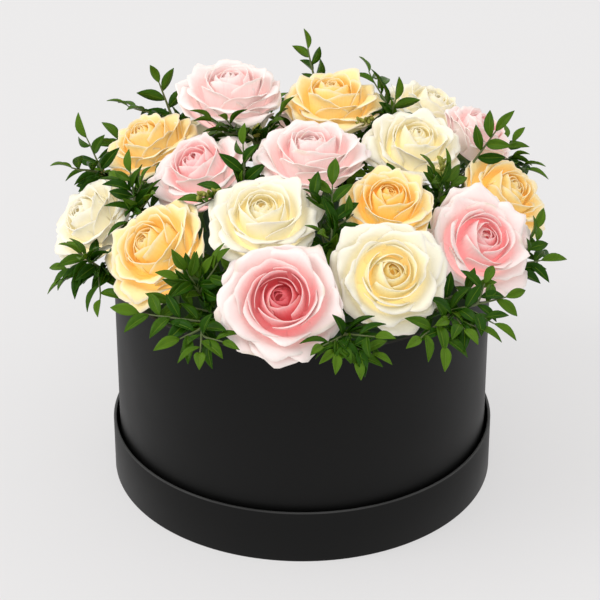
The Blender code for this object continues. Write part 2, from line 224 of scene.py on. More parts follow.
ROSES = (
    Rose(1, "pink", (-48, 74, 250), 38, 5, 270, 0.8, 20, -0.6),
    Rose(2, "peach", (20, 77, 243), 35, 6, 265, 0.5, 140, -0.35),
    Rose(3, "white", (92, 104, 222), 33, 26, 5, 0.6, 80, -0.5),
    Rose(4, "pink", (124, 62, 222), 28, 36, 2, 0.7, 200, -0.4),
    Rose(5, "peach", (-109, 74, 212), 34, 24, 195, 0.3, 300, -0.35),
    Rose(6, "pink", (-71, 2, 225), 34, 28, 220, 0.5, 40, -0.3),
    Rose(7, "pink", (6, -6, 240), 38, 8, 270, 1.0, 90, -0.6),
    Rose(8, "white", (76, 28, 231), 34, 20, 295, 0.5, 250, -0.35),
    Rose(9, "peach", (141, 21, 196), 34, 42, 332, 0.5, 10, -0.4),
    Rose(10, "white", (-146, -1, 189), 33, 46, 202, 0.45, 170, -0.65),
    Rose(11, "peach", (-99, -65, 200), 37, 42, 218, 0.5, 60, -0.3),
    Rose(12, "white", (-25, -68, 225), 36, 22, 262, 0.7, 330, -0.35),
    Rose(13, "peach", (55, -47, 225), 31, 22, 278, 0.4, 110, 0.05),
    Rose(14, "pink", (117, -47, 194), 37, 46, 300, 0.8, 220, -0.15),
    Rose(15, "pink", (-13, -130, 196), 39, 46, 266, 1.0, 0, 0.38),
    Rose(16, "white", (55, -107, 201), 36, 50, 282, 0.8, 150, 0.1),
    Rose(17, "pink", (11, 136, 198), 32, 46, 86, 0.8, 70, -0.1),
    Rose(18, "white", (-54, 128, 204), 32, 42, 108, 0.5, 260, -0.4),
)


@dataclass(frozen=True)
class Spray:
    """A leafy branch: how many shoots branch again, then its fork, tips and bud clusters in millimetres."""

    name: str
    branching: int
    fork: tuple
    tips: tuple
    buds: tuple = ()


SPRAYS = (
    Spray("left_back", 0, (-87, 108, 198), ((-99, 116, 230), (-121, 112, 214))),
    Spray("left_side", 0, (-130, 44, 190),
          ((-153, 28, 207), (-145, 56, 216), (-150, 30, 168), (-146, 66, 172))),
    Spray("left_gap", 1, (-105, -12, 192), ((-112, 1, 217), (-100, -22, 207), (-113, -34, 195))),
    Spray("middle_back", 1, (-29, 38, 214),
          ((-60, 36, 238), (-14, 46, 238), (38, 12, 212)), ((-30, 35, 233),)),
    Spray("middle_left", 0, (-36, -22, 212), ((-38, -10, 242), (-68, -46, 216)), ((-66, -44, 222),)),
    Spray("top", 0, (12, 104, 208), ((4, 124, 252), (33, 118, 240))),
    Spray("right_back_gap", 0, (58, 70, 218),
          ((63, 73, 236), (46, 112, 240), (41, 37, 228), (38, 46, 198), (34, 74, 192)), ((37, 50, 231),)),
    Spray("right_back", 0, (105, 27, 197), ((128, 34, 231), (124, 20, 228), (154, 18, 166))),
    Spray("right_gap", 1, (86, -12, 196), ((92, -4, 219), (42, 2, 214), (88, 16, 206)), ((92, 10, 221),)),
    Spray("middle_front", 1, (18, -72, 198), ((19, -46, 231), (14, -88, 215))),
    Spray("front_left_low", 1, (-58, -112, 168), ((-62, -152, 170), (-101, -112, 175))),
    Spray("front_left_high", 1, (-62, -92, 176), ((-72, -96, 197), (-52, -100, 204))),
    Spray("left_low", 2, (-126, -36, 164),
          ((-154, -26, 160), (-144, -42, 180), (-129, -68, 160), (-122, -46, 178))),
    Spray("front", 2, (26, -130, 170), ((33, -158, 167), (12, -154, 176), (44, -150, 180))),
    Spray("front_right", 3, (90, -98, 168), ((128, -86, 172), (72, -136, 171), (100, -120, 168))),
    Spray("right_low", 2, (134, -42, 164),
          ((150, -24, 188), (168, -18, 170), (158, -44, 158), (138, -74, 169))),
    Spray("back_right", 2, (58, 122, 182), ((62, 152, 196), (86, 140, 198), (38, 150, 172), (84, 136, 166))),
    Spray("back_middle", 2, (-30, 126, 182),
          ((-32, 154, 198), (-20, 142, 212), (-54, 146, 170), (4, 150, 168))),
    Spray("back_left", 2, (-108, 98, 172),
          ((-128, 112, 188), (-104, 128, 184), (-138, 84, 164), (-86, 132, 162))),
    Spray("back_right_low", 2, (128, 88, 176),
          ((146, 100, 192), (152, 76, 186), (156, 50, 164), (116, 116, 164))),
)


# What a user would change

def colour(name, description, default):
    return FloatVectorProperty(name=name, description=description, subtype="COLOR", size=3, min=0, max=1,
                               default=default)


class BoxLooks(bpy.types.PropertyGroup):
    """Sizes and colours of the board box and its lid."""

    sides: IntProperty(name="Sides", description="Flats round the box", default=160, min=24, max=256)
    rounding: FloatProperty(name="Rim rounding", description="Radius at the rims where the paper folds over",
                            default=0.0007, min=0.0001, max=0.001, unit="LENGTH", precision=5)
    paper: colour("Paper", "Colour of the covering paper", (0.0035, 0.0035, 0.0034))
    # Paper along the rims: partly wear from handling, partly a painted highlight.
    wear_and_highlight: colour("Worn paper", "Colour of the paper along the rims", (0.075, 0.075, 0.074))


class BloomLooks(bpy.types.PropertyGroup):
    """Sizes and colours of the petals."""

    petals: IntProperty(name="Petals", description="Petals in a bloom", default=40, min=12, max=60)
    across: IntProperty(name="Faces across", description="Faces across an outer petal", default=18, min=6,
                        max=40)
    along: IntProperty(name="Faces along", description="Faces from root to rim", default=10, min=4, max=24)
    thickness: FloatProperty(name="Petal thickness", description="Thickness of a petal", default=0.0004,
                             min=0.0002, max=0.001, unit="LENGTH", precision=5)
    pink_heart: colour("Pink heart", "Pink roses, deep inside", (0.80, 0.15, 0.17))
    pink_middle: colour("Pink middle", "Pink roses, halfway out", (0.97, 0.52, 0.52))
    pink_rim: colour("Pink rim", "Pink roses, outer petals", (0.97, 0.81, 0.78))
    white_heart: colour("White heart", "White roses, deep inside", (0.93, 0.66, 0.18))
    white_middle: colour("White middle", "White roses, halfway out", (0.97, 0.86, 0.52))
    white_rim: colour("White rim", "White roses, outer petals", (0.94, 0.89, 0.72))
    peach_heart: colour("Peach heart", "Peach roses, deep inside", (0.97, 0.48, 0.05))
    peach_middle: colour("Peach middle", "Peach roses, halfway out", (0.99, 0.67, 0.17))
    peach_rim: colour("Peach rim", "Peach roses, outer petals", (0.99, 0.79, 0.38))
    # Painted highlight along the very rims of the petals.
    painted_rim_highlight: colour("Lip", "Tint of the very rims of the petals", (1.0, 0.95, 0.88))
    blemish: colour("Blemish", "Tint of the dried spots along petal rims", (0.62, 0.50, 0.22))


class LeafLooks(bpy.types.PropertyGroup):
    """Sizes and colours of the stems, twigs and leaves."""

    length: FloatProperty(name="Leaf length", description="Length of a leaf low on its shoot",
                          default=0.0215, min=0.01, max=0.05, unit="LENGTH")
    width: FloatProperty(name="Leaf width", description="Width of a leaf as a share of its length",
                         default=0.38, min=0.1, max=1, subtype="FACTOR")
    spacing: FloatProperty(name="Leaf spacing", description="Distance between leaves along a shoot",
                           default=0.0064, min=0.003, max=0.03, unit="LENGTH")
    blade: colour("Leaf", "Upper face of a leaf", (0.013, 0.060, 0.0008))
    young: colour("Young leaf", "Leaves near the tips", (0.085, 0.175, 0.009))
    rib: colour("Rib", "Midrib and side veins", (0.10, 0.18, 0.012))
    twig: colour("Twig", "Stems of the leafy shoots", (0.13, 0.17, 0.05))
    bud: colour("Bud", "Small buds among the leaves", (0.36, 0.36, 0.045))
    stem: colour("Rose stem", "Stems, hips and sepals of the roses", (0.10, 0.22, 0.05))


class StageLooks(bpy.types.PropertyGroup):
    """Where the camera stands and how the part is lit."""

    elevation: FloatProperty(name="Elevation", description="Height of the camera above level",
                             default=math.radians(29.02), subtype="ANGLE")
    distance: FloatProperty(name="Distance", description="From the camera to what it looks at",
                            default=1.5629, unit="LENGTH")
    lens: FloatProperty(name="Lens", description="Focal length in millimetres", default=139.8)
    floor: colour("Floor", "Colour of floor and backdrop", (0.24, 0.237, 0.237))
    floor_glow: FloatProperty(name="Floor glow", description="Light that the floor gives of its own",
                              default=2.32, min=0)
    daylight: FloatProperty(name="Daylight", description="Strength of the even light", default=0.99, min=0)
    key: FloatProperty(name="Key light", description="Power of the large soft light", default=68.0, min=0)


# Sums that several pieces use

def mix(low, high, share):
    return low + (high - low) * share


def unit(vector):
    return vector / np.linalg.norm(vector)


def ease(share):
    share = np.clip(share, 0.0, 1.0)
    return share * share * (3 - 2 * share)


def curve_point(start, leave, arrive, end, share):
    """A point of the cubic curve through start and end, with its two handles."""
    rest = 1 - share
    return (rest ** 3 * start + 3 * rest * rest * share * leave
            + 3 * rest * share * share * arrive + share ** 3 * end)


def placed(rose, points):
    """Points of the bloom's own frame in the part's frame."""
    return rose.base + points @ rose.frame


# Working on objects as by hand

def pick(*objects):
    """Selects these objects alone, the first as the active one."""
    bpy.ops.object.select_all(action="DESELECT")
    for one in objects:
        one.select_set(True)
    bpy.context.view_layer.objects.active = objects[0]


def apply_modifiers(piece):
    pick(piece)
    for modifier in list(piece.modifiers):
        bpy.ops.object.modifier_apply(modifier=modifier.name)


def thickened(piece, thickness):
    """A piece that was a bare surface, with half its thickness to each side."""
    solid = piece.modifiers.new("thickness", "SOLIDIFY")
    solid.thickness = thickness
    solid.offset = 0
    apply_modifiers(piece)
    return piece


def joined(name, pieces):
    """One smooth object of this name from several."""
    pick(*pieces)
    bpy.ops.object.join()
    bpy.ops.object.shade_smooth()
    pieces[0].name = name
    pieces[0].data.name = name
    return pieces[0]


def copy_of(blank):
    """A copy of an object with a mesh of its own."""
    made = blank.copy()
    made.data = blank.data.copy()
    bpy.context.scene.collection.objects.link(made)
    return made


def points_of(piece):
    flat = np.empty(len(piece.data.vertices) * 3)
    piece.data.vertices.foreach_get("co", flat)
    return flat.reshape(-1, 3)


def move_points(piece, points):
    piece.data.vertices.foreach_set("co", np.ascontiguousarray(points).ravel())
    piece.data.update()


def mark(piece, name, values):
    """Stores a number for each point of the piece, for its material."""
    attribute = piece.data.attributes.new(name, "FLOAT", "POINT")
    attribute.data.foreach_set("value", np.broadcast_to(values, len(piece.data.vertices)).astype(np.float32))


def give(piece, material, node=None):
    """Gives a finished piece its material and slot, and lets it stand for its node."""
    piece.data.materials.clear()
    piece.data.materials.append(material)
    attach(piece, "root")
    if node:
        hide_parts(node)


# Materials

def finish(name, colour=(0.5, 0.5, 0.5), roughness=0.5, **sockets):
    """A new material with plain values on its shader, and the shader."""
    material = bpy.data.materials.new(name)
    material.use_nodes = True
    shader = material.node_tree.nodes["Principled BSDF"]
    shader.inputs["Base Color"].default_value = (*colour, 1.0)
    shader.inputs["Roughness"].default_value = roughness
    for socket, value in sockets.items():
        shader.inputs[socket.replace("_", " ")].default_value = value
    return material, shader


def add_node(tree, kind, settings=None, **sockets):
    """A new node with its settings, and its sockets set or linked."""
    made = tree.nodes.new("ShaderNode" + kind)
    for name, value in (settings or {}).items():
        setattr(made, name, value)
    for name, value in sockets.items():
        socket = made.inputs[int(name[1:])] if name[0] == "_" else made.inputs[name.replace("_", " ")]
        if isinstance(value, bpy.types.NodeSocket):
            tree.links.new(value, socket)
        else:
            socket.default_value = value
    return made


def sum_node(tree, operation, first, second=0.0, third=0.0):
    """The result of one sum on numbers or sockets."""
    return add_node(tree, "Math", {"operation": operation}, _0=first, _1=second, _2=third).outputs[0]


def ranged(tree, value, low, high, to_low=0.0, to_high=1.0):
    """A value carried from one range to another, and held there."""
    made = add_node(tree, "MapRange", None, Value=value)
    for socket, number in zip(("From Min", "From Max", "To Min", "To Max"), (low, high, to_low, to_high)):
        made.inputs[socket].default_value = number
    return made.outputs[0]


def ramp(tree, value, stops):
    """A colour that runs through the stops as the value rises."""
    made = add_node(tree, "ValToRGB", None, Fac=value)
    made.color_ramp.interpolation = "EASE"
    while len(made.color_ramp.elements) < len(stops):
        made.color_ramp.elements.new(0.5)
    for element, (place, shade) in zip(made.color_ramp.elements, stops):
        element.position = place
        element.color = (*shade, 1.0)
    return made.outputs[0]


def blended(tree, share, first, second, kind="MIX"):
    """Two colours mixed by a share."""
    made = add_node(tree, "Mix", {"data_type": "RGBA", "blend_type": kind}, Factor=share)
    for socket, value in ((made.inputs[6], first), (made.inputs[7], second)):
        if isinstance(value, bpy.types.NodeSocket):
            tree.links.new(value, socket)
        else:
            socket.default_value = (*value, 1.0)
    return made.outputs[2]


def bumped(tree, shader, height, distance, strength=1.0):
    """Raises the shader's surface by a height from 0 to 1."""
    bump = add_node(tree, "Bump", None, Height=height, Distance=distance, Strength=strength)
    tree.links.new(bump.outputs["Normal"], shader.inputs["Normal"])


def node_group(name, inputs, outputs):
    """A node group with named sockets, each given as a name, a kind and a default."""
    group = bpy.data.node_groups.new(name, "ShaderNodeTree")
    for direction, sockets in (("INPUT", inputs), ("OUTPUT", outputs)):
        for socket, kind, default in sockets:
            made = group.interface.new_socket(socket, in_out=direction, socket_type="NodeSocket" + kind)
            if default is not None:
                made.default_value = default
    return group, group.nodes.new("NodeGroupInput").outputs, group.nodes.new("NodeGroupOutput").inputs


def grain_group():
    """Grain: slow patches and fine fibres over a surface."""
    group, inputs, outputs = node_group(
        "Grain",
        (("Patch size", "Float", 40.0), ("Fibre size", "Float", 900.0)),
        (("Patches", "Float", None), ("Fibres", "Float", None)))
    place = group.nodes.new("ShaderNodeTexCoord").outputs["Object"]
    for size, detail, result in (("Patch size", 4.0, "Patches"), ("Fibre size", 3.0, "Fibres")):
        noise = add_node(group, "TexNoise", None, Vector=place, Scale=inputs[size], Detail=detail)
        group.links.new(noise.outputs[0], outputs[result])
    return group


def vein_group():
    """Veins: streaks that run from a petal's or leaf's root to its rim, a little differently on each."""
    group, inputs, outputs = node_group(
        "Veins",
        (("Count", "Float", 26.0), ("Length", "Float", 2.2), ("Draw", "Float", 0.0)),
        (("Streaks", "Float", None), ("Patches", "Float", None)))
    uv = add_node(group, "SeparateXYZ", None, Vector=group.nodes.new("ShaderNodeUVMap").outputs[0])
    fan = sum_node(group, "SUBTRACT", uv.outputs[0], 0.5)
    seed = sum_node(group, "MULTIPLY", inputs["Draw"], 37.0)
    across = sum_node(group, "MULTIPLY", fan, inputs["Count"])
    along = sum_node(group, "MULTIPLY", uv.outputs[1], inputs["Length"])
    place = add_node(group, "CombineXYZ", None, X=across, Y=along, Z=seed)
    streaks = add_node(group, "TexNoise", None, Vector=place.outputs[0], Scale=1.0, Detail=2.5)
    slow = add_node(group, "CombineXYZ", None, X=uv.outputs[0], Y=uv.outputs[1], Z=seed)
    patches = add_node(group, "TexNoise", None, Vector=slow.outputs[0], Scale=2.6, Detail=3.0)
    group.links.new(streaks.outputs[0], outputs["Streaks"])
    group.links.new(patches.outputs[0], outputs["Patches"])
    return group


GROUPS = {"Grain": grain_group, "Veins": vein_group}


def placed_group(tree, name, **sockets):
    """One of the shared groups, built the first time it is asked for."""
    group = bpy.data.node_groups.get(name) or GROUPS[name]()
    return add_node(tree, "Group", {"node_tree": group}, **sockets)


def marked(tree, name):
    """The number that mark() stored."""
    return add_node(tree, "Attribute", {"attribute_name": name}).outputs["Fac"]


def petal_finish(looks, variety):
    """Soft petal: deep colour in the heart, partly the roses' own colour and partly painted shade, pale
    towards the rims, with faint streaks, dried spots, a painted highlight along the very rims and a painted
    glow in place of light shining through the petals.
    """
    material, shader = finish(f"{variety}_petal", roughness=0.55, Specular_IOR_Level=0.3)
    tree = material.node_tree
    veins = placed_group(tree, "Veins", Draw=marked(tree, "draw"))
    tone = sum_node(tree, "MULTIPLY_ADD", veins.outputs["Streaks"], 0.16, marked(tree, "tone"))
    tone = sum_node(tree, "MULTIPLY_ADD", veins.outputs["Patches"], 0.14, tone)
    tone = sum_node(tree, "SUBTRACT", tone, 0.15)
    heart, middle, rim = (getattr(looks, f"{variety}_{part}") for part in ("heart", "middle", "rim"))
    shade = ramp(tree, tone, ((0.0, heart), (0.42, middle), (0.84, rim)))
    along = add_node(tree, "SeparateXYZ", None, Vector=add_node(tree, "UVMap").outputs[0]).outputs[1]
    # Painted highlight: the very rims of the paler petals are blended towards a near-white colour.
    painted_rim_highlight = sum_node(tree, "MULTIPLY", ranged(tree, along, 0.92, 1.0, 0.0, 0.6), tone)
    shade = blended(tree, painted_rim_highlight, shade, looks.painted_rim_highlight)
    spots = ranged(tree, veins.outputs["Patches"], 0.60, 0.72, 0.0, 0.35)
    spots = sum_node(tree, "MULTIPLY", spots, marked(tree, "edge"))
    shade = blended(tree, spots, shade, looks.blemish)
    tree.links.new(shade, shader.inputs["Base Color"])
    # Painted glow: the petals give light of their own, most towards their roots, in place of light shining
    # through them.
    glow = blended(tree, marked(tree, "deep"), (0, 0, 0), shade)
    tree.links.new(glow, shader.inputs["Emission Color"])
    shader.inputs["Emission Strength"].default_value = 0.28
    bumped(tree, shader, veins.outputs["Streaks"], 0.0004, 0.5)
    return material


def leaf_finish(looks):
    """Waxy leaf: dark blade with a pale midrib and side veins, lighter when young."""
    material, shader = finish("leaf_blade", roughness=0.24, Specular_IOR_Level=0.08)
    tree = material.node_tree
    uv = add_node(tree, "SeparateXYZ", None, Vector=add_node(tree, "UVMap").outputs[0])
    aside = sum_node(tree, "ABSOLUTE", sum_node(tree, "SUBTRACT", uv.outputs[0], 0.5))
    rib = ranged(tree, aside, 0.015, 0.05, 1.0, 0.0)
    slant = sum_node(tree, "MULTIPLY_ADD", aside, -1.1, uv.outputs[1])
    waves = sum_node(tree, "SINE", sum_node(tree, "MULTIPLY", slant, 62.0))
    side_veins = ranged(tree, waves, 0.80, 1.0, 0.0, 0.35)
    veins = placed_group(tree, "Veins", Count=6.0, Length=4.0, Draw=marked(tree, "draw"))
    age = sum_node(tree, "MULTIPLY_ADD", veins.outputs["Patches"], 0.5, marked(tree, "tone"))
    shade = ramp(tree, age, ((0.25, looks.blade), (1.0, looks.young)))
    shade = blended(tree, sum_node(tree, "MAXIMUM", rib, side_veins), shade, looks.rib)
    tree.links.new(shade, shader.inputs["Base Color"])
    bumped(tree, shader, sum_node(tree, "MAXIMUM", rib, side_veins), -0.0003, 0.6)
    return material


def stem_finish(name, shade):
    """Green skin of a stem or twig, a little uneven."""
    material, shader = finish(name, roughness=0.5)
    tree = material.node_tree
    grain = placed_group(tree, "Grain", Patch_size=90.0, Fibre_size=1500.0)
    darker = tuple(part * 0.6 for part in shade)
    tree.links.new(blended(tree, grain.outputs["Patches"], darker, shade), shader.inputs["Base Color"])
    bumped(tree, shader, grain.outputs["Fibres"], 0.0002, 0.5)
    return material


def paper_finish(looks):
    """Matte black paper over board, lighter along the rims: partly wear from handling, partly a painted
    highlight.
    """
    material, shader = finish("black_paper", roughness=0.46, Specular_IOR_Level=0.16)
    tree = material.node_tree
    grain = placed_group(tree, "Grain", Patch_size=14.0, Fibre_size=1300.0)
    unevenly = ranged(tree, grain.outputs["Patches"], 0.3, 0.7, 0.5)
    # Lighter along the rims, unevenly: partly wear from handling, partly a painted highlight.
    wear_and_highlight_share = sum_node(tree, "MULTIPLY", marked(tree, "rim"), unevenly)
    tree.links.new(blended(tree, wear_and_highlight_share, looks.paper, looks.wear_and_highlight), shader.inputs["Base Color"])
    roughness = ranged(tree, grain.outputs["Patches"], 0.3, 0.7, 0.42, 0.52)
    tree.links.new(roughness, shader.inputs["Roughness"])
    bumped(tree, shader, grain.outputs["Fibres"], 0.00012, 0.35)
    return material


def foam_finish():
    """Wet floral foam: dark green, full of fine cells."""
    material, shader = finish("wet_foam", roughness=0.85)
    tree = material.node_tree
    grain = placed_group(tree, "Grain", Patch_size=60.0, Fibre_size=1800.0)
    shade = blended(tree, grain.outputs["Patches"], (0.010, 0.035, 0.014), (0.03, 0.09, 0.035))
    tree.links.new(shade, shader.inputs["Base Color"])
    bumped(tree, shader, grain.outputs["Fibres"], 0.0006)
    return material


def liner_finish():
    """Thin dark plastic of the liner, faintly clouded."""
    material, shader = finish("liner_plastic", roughness=0.3)
    tree = material.node_tree
    grain = placed_group(tree, "Grain", Patch_size=30.0)
    shade = blended(tree, grain.outputs["Patches"], (0.006, 0.012, 0.008), (0.012, 0.020, 0.014))
    tree.links.new(shade, shader.inputs["Base Color"])
    return material


def floor_finish(looks):
    """The stage's even paint, which glows a little so that shadows on it stay faint."""
    material, shader = finish("floor", colour=looks.floor, roughness=0.9, Specular_IOR_Level=0.0)
    shader.inputs["Emission Color"].default_value = (*looks.floor, 1.0)
    shader.inputs["Emission Strength"].default_value = looks.floor_glow
    return material


# Box and lid

def select_parts(parts, chosen):
    for part in parts:
        part.select_set(chosen(part))


def unselected(piece):
    """Deselects all of a piece that is open in edit mode, and gives its mesh as it is now."""
    bpy.ops.mesh.select_all(action="DESELECT")
    return bmesh.from_edit_mesh(piece.data)


def board_cup(looks, node):
    """A round board cup of its node's size: a cylinder with its top pushed in, and its rims rounded."""
    low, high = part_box(node)
    height = high.z - low.z
    bpy.ops.mesh.primitive_cylinder_add(vertices=looks.sides, radius=high.x, depth=height,
                                        location=(0, 0, low.z + height / 2))
    cup = bpy.context.object
    bpy.ops.object.transform_apply()
    pick(cup)
    bpy.ops.object.mode_set(mode="EDIT")
    tool = unselected(cup)
    bpy.ops.mesh.select_mode(type="FACE")
    select_parts(tool.faces, lambda face: face.normal.z > 0.9)
    bpy.ops.mesh.inset(thickness=BOARD[node])
    bpy.ops.mesh.extrude_region_move(TRANSFORM_OT_translate={"value": (0, 0, BOARD[node] - height)})
    bpy.ops.mesh.select_mode(type="EDGE")
    tool = bmesh.from_edit_mesh(cup.data)
    select_parts(tool.edges, lambda edge: all(abs(v.co.z - high.z) < SAME_PLACE for v in edge.verts)
                 and abs(edge.verts[0].co.xy.length - edge.verts[1].co.xy.length) < SAME_PLACE)
    bpy.ops.mesh.bevel(offset=looks.rounding, segments=RIM_SEGMENTS)
    tool = unselected(cup)
    select_parts(tool.edges, lambda edge: all(v.co.z < low.z + SAME_PLACE for v in edge.verts))
    bpy.ops.mesh.bevel(offset=looks.rounding, segments=RIM_SEGMENTS)
    bpy.ops.object.mode_set(mode="OBJECT")
    bpy.ops.object.shade_smooth_by_angle(angle=SMOOTH_ANGLE)
    cup.name = "paper_" + node
    heights = points_of(cup)[:, 2]
    # The rim mark sets where the paper is lighter: partly wear, partly a painted highlight along the rims.
    mark(cup, "rim", np.clip((heights - high.z) / looks.rounding + 1, 0, 1))
    return cup


class ROSEBOX_OT_box(bpy.types.Operator):
    """Model the box and the lid it stands in, covered in black paper"""

    bl_idname = "rosebox.box"
    bl_label = "Box and Lid"

    def execute(self, context):
        looks = context.scene.rose_box_box
        paper = paper_finish(looks)
        for node in BOARD:
            give(board_cup(looks, node), paper, node)
        return {"FINISHED"}


class ROSEBOX_OT_foam(bpy.types.Operator):
    """Finish the foam and the liner that the roses stand in"""

    bl_idname = "rosebox.foam"
    bl_label = "Foam and Liner"

    def execute(self, context):
        for node, material in (("foam", foam_finish()), ("liner", liner_finish())):
            slots = frame["nodes"][node].data.materials
            slots.clear()
            slots.append(material)
        return {"FINISHED"}


# Blooms

def profile(rose, layer):
    """Root, two handles and rim of a petal's section, as (radius, height), for a layer from 0 to 1."""
    size, depth, openness = rose.size, rose.depth, rose.openness
    closed_reach, open_reach = layer ** 1.1, 1 - (1 - layer) ** 1.25
    rim_radius = size * (0.012 + 0.988 * mix(closed_reach, open_reach, openness))
    heart, ring, outer = mix(CLOSED_RIMS, OPEN_RIMS, openness)
    rim_height = depth * (heart * (1 - layer) ** 2 + 2 * ring * layer * (1 - layer) + outer * layer ** 2)
    leaves = math.radians(mix(*ROOT_LEAN, layer ** 0.6))
    arrives = math.radians(mix(*RIM_LEAN, layer ** mix(1.7, 1.25, openness)))
    root = np.array([size * mix(*ROOT_RADIUS, layer), depth * mix(*ROOT_HEIGHT, layer)])
    rim = np.array([rim_radius, rim_height])
    chord = np.linalg.norm(rim - root)
    first = root + ROOT_HANDLE * chord * np.array([math.sin(leaves), math.cos(leaves)])
    hold = mix(*RIM_HANDLE, ease((layer - 0.4) / 0.5))
    second = rim - hold * chord * np.array([math.sin(arrives), math.cos(arrives)])
    return root, first, second, rim


def petal_points(rose, index, layer, u, v):
    """Where a petal's points lie in the bloom's own frame, from their places across and along."""
    openness = rose.openness
    draw = random.Random(rose.number * 1000 + index)
    turn = math.radians(rose.turn) + index * GOLDEN_ANGLE
    turn = turn + math.radians(draw.uniform(-TURN_ERROR, TURN_ERROR))
    reach = draw.uniform(0.93, 1.03)
    lift = draw.uniform(-0.03, 0.03) * rose.depth
    phase, ripple = draw.uniform(0, 2 * math.pi), draw.uniform(0, 2 * math.pi)
    curl = draw.uniform(0.7, 1.4)
    lead = draw.uniform(0.6, 1.3)
    half_angle = math.radians(HALF_WIDTH + WIDER_INSIDE * (1 - layer)
                              + WRAP_OF_HEART * math.exp(-layer / 0.07))
    outer = ease((layer - 0.25) / 0.5)
    point = mix(*POINT, outer) * np.exp(-(np.abs(u) / POINT_WIDTH) ** 1.5)
    frill = mix(*FRILL, outer) * (np.sin(9 * u + ripple) + 0.6 * np.sin(14 * u + 2 * phase))
    length = reach * (1 - mix(*CORNERS, outer) * np.abs(u) ** mix(1.6, 2.4, openness) + point + frill)
    share = v * length
    root, first, second, rim = (corner[:, None] for corner in profile(rose, layer))
    radius, height = curve_point(root, first, second, rim, share)
    high = share ** 2
    flat = 1 / np.cos(np.clip(FLATTENED * half_angle * u, -1.1, 1.1)) - 1
    radius = radius * (1 + 0.55 * flat * high * ease(layer / 0.3))
    rolled = ease((share - ROLL_START) / 0.22) * rose.size * mix(*ROLL, outer) * curl
    radius = radius + 0.6 * rolled
    height = height - 0.6 * rolled
    side = np.clip(np.abs(u) - 0.35, 0, None) ** 2 * high
    height = height - mix(0.45, 0.36, openness) * rose.size * outer * side * curl
    wave = np.sin(4.2 * u + phase) + 0.45 * np.sin(11 * u + ripple)
    wave = wave + 0.35 * share ** 4 * np.sin(15 * u + 3 * phase)
    wave = wave * share ** 4 * rose.size * WAVE * (0.25 + outer)
    height = height + wave + lift * share
    skew = mix(0.15, 0.10, ease(layer / 0.6)) * lead
    radius = radius * (1 + skew * u * ease(share * 1.6)) + 0.5 * wave
    slope = SLOPE * outer + SLOPE_OF_RING * math.exp(-((layer - RING) / 0.22) ** 2)
    height = height - slope * lead * rose.size * u * high
    angle = turn + half_angle * u
    aside, way = draw.uniform(0.02, 0.06) * (1 - layer) ** 2 * rose.size, draw.uniform(0, 2 * math.pi)
    return np.stack([radius * np.cos(angle) + share * aside * math.cos(way),
                     radius * np.sin(angle) + share * aside * math.sin(way), height], axis=-1)


def contact_planes(rose):
    """The planes, as (point, outward normal), where this bloom meets each bloom beside it."""
    planes = []
    for other in ROSES:
        between = other.middle - rose.middle
        distance = np.linalg.norm(between)
        if other is rose or distance > rose.size + other.size + BESIDE:
            continue
        share = (distance ** 2 + rose.size ** 2 - other.size ** 2) / (2 * distance ** 2)
        planes.append((rose.middle + share * between, between / distance))
    return planes


def pressed(points, planes):
    """Points that come near a neighbour are pressed back from the plane between the two, in order."""
    points = points.copy()
    room = SOFT_ZONE - HALF_CLEARANCE
    for origin, normal in planes:
        reach = (points - origin) @ normal + SOFT_ZONE
        over = reach > 0
        kept = room * (1 - np.exp(-np.where(over, reach, 0) / room))
        points -= np.where(over, reach - kept, 0)[..., None] * normal
    return points


def petal_blank(across, along):
    """A flat grid, from -1 to 1 across and from root to rim, which each petal is shaped from."""
    bpy.ops.mesh.primitive_grid_add(x_subdivisions=across, y_subdivisions=along, size=2)
    return bpy.context.object


def bloom(rose, looks, blanks):
    """One bloom: petals on a golden-angle spiral, each a waved fan of a turned profile."""
    planes = contact_planes(rose)
    petals = []
    for index in range(looks.petals):
        place = index / (looks.petals - 1)
        layer = place - CROWDING * math.sin(2 * math.pi * place)
        petal = copy_of(blanks[0 if layer < INNER_PETALS else 1])
        flat = points_of(petal)
        u, v = flat[:, 0], (flat[:, 1] + 1) / 2
        points = placed(rose, petal_points(rose, index, layer, u, v))
        move_points(petal, pressed(points, planes))
        blush = 1 + rose.blush * (1 - layer) ** (3 if rose.blush > 0 else 1)
        # The tone deepens towards the heart and towards each petal's root: the roses' own deeper colour at
        # the heart, and painted shade where the petals' roots lie deep in the bloom.
        tone = 1 - blush * (HEART_TONE - TONE_RISE * layer ** 0.58 + TONE_ALONG * (0.85 - v))
        mark(petal, "tone", np.clip(tone, 0, 1))
        mark(petal, "edge", ease((v - 0.80) / 0.2))
        # The deep mark sets the painted glow: strongest towards the petals' roots and in the inner layers,
        # weaker in blooms with a blush above zero.
        glow = (1 - max(0.0, rose.blush)) * mix(0.6, 1.0, ease(layer / 0.2))
        mark(petal, "deep", glow * mix(0.12, 1.0, ease((0.95 - v) / 0.7)))
        mark(petal, "draw", (index * 0.618 + rose.number * 0.37) % 1)
        petals.append(petal)
    return thickened(joined(rose.looks_name, petals), looks.thickness)


class ROSEBOX_OT_blooms(bpy.types.Operator):
    """Model the blooms petal by petal and lay them on their stems"""

    bl_idname = "rosebox.blooms"
    bl_label = "Blooms"

    def execute(self, context):
        looks = context.scene.rose_box_blooms
        blanks = (petal_blank(looks.across * 2 // 3, looks.along * 2 // 3),
                  petal_blank(looks.across, looks.along))
        finishes = {variety: petal_finish(looks, variety) for variety in ("pink", "white", "peach")}
        for rose in ROSES:
            give(bloom(rose, looks, blanks), finishes[rose.variety], rose.node)
        for blank in blanks:
            bpy.data.objects.remove(blank)
        return {"FINISHED"}


# Stems and leaves

